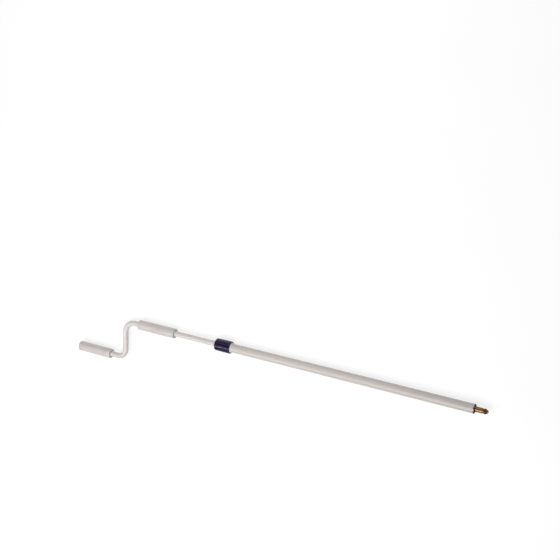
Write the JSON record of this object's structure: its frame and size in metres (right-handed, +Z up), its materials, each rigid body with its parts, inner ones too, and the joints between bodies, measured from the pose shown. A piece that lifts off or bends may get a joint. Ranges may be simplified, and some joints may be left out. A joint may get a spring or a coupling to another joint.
{
  "type": "telescopic window crank pole",
  "caption": "Telescopic crank pole for a high roof window: Z-bent crank tube with turning grips, twist-lock collar, outer tube and brass driving tip.",
  "frame": {"origin": "on the pole's axis, at the tip's shoulder, where the round shank meets the flange", "axes": "+X along the pole out of the driving tip, the crank arm towards -Y, +Z up with the pole lying flat"},
  "size_m": [1.1042, 0.1291, 0.0308],
  "materials": {
    "white_lacquer": "satin lacquer on steel tube",
    "crank_lacquer": "satin lacquer on bent steel tube",
    "grip_sleeve": "smooth extruded plastic",
    "grip_bush": "moulded plastic",
    "pale_plastic": "moulded white plastic",
    "natural_acetal": "moulded natural acetal",
    "navy_plastic": "satin moulded plastic",
    "rubber": "matt",
    "brass": "turned brass, slightly tarnished",
    "steel": "plain bright steel"
  },
  "bodies": {
    "pole": {"outer_tube": "white_lacquer", "tip_fitting": "brass", "tip_pin": "steel", "ferrule": "pale_plastic", "collet": "natural_acetal"},
    "wiper": {"wiper_ring": "rubber"},
    "collar": {"lock_collar": "navy_plastic"},
    "crank": {"crank_tube": "crank_lacquer", "guide_plug": "natural_acetal", "guide_plug_pin": "steel", "guide_rear_stop": "crank_lacquer", "guide_front_stop": "crank_lacquer", "handle_stop": "crank_lacquer", "push_nut": "steel", "thrust_washer": "steel"},
    "guide_grip": {"guide_sleeve": "grip_sleeve", "guide_rear_bush": "grip_bush", "guide_front_bush": "grip_bush"},
    "handle_grip": {"handle_sleeve": "grip_sleeve", "handle_inner_bush": "grip_bush", "handle_outer_bush": "grip_bush", "handle_end_cap": "grip_bush"}
  },
  "joints": [
    {"name": "telescope", "type": "slide", "parent": "pole", "child": "crank", "axis": [-1, 0, 0], "range_m": [-0.115, 0.435]},
    {"name": "collar_travel", "type": "slide", "parent": "pole", "child": "wiper", "axis": [1, 0, 0], "range_m": [-0.0015, 0]},
    {"name": "collar_turn", "type": "hinge", "parent": "wiper", "child": "collar", "pos_m": [-0.65, 0, 0], "axis": [1, 0, 0], "range_deg": [-180, 0]},
    {"name": "guide_grip_spin", "type": "hinge", "parent": "crank", "child": "guide_grip", "pos_m": [-0.83, 0, 0], "axis": [1, 0, 0], "continuous": true},
    {"name": "handle_spin", "type": "hinge", "parent": "crank", "child": "handle_grip", "pos_m": [-1.02, -0.101, 0], "axis": [1, 0, 0], "continuous": true}
  ],
  "couplings": [
    {"joint": "collar_travel", "follows": "collar_turn", "m_per_rad": 0.000477}
  ]
}
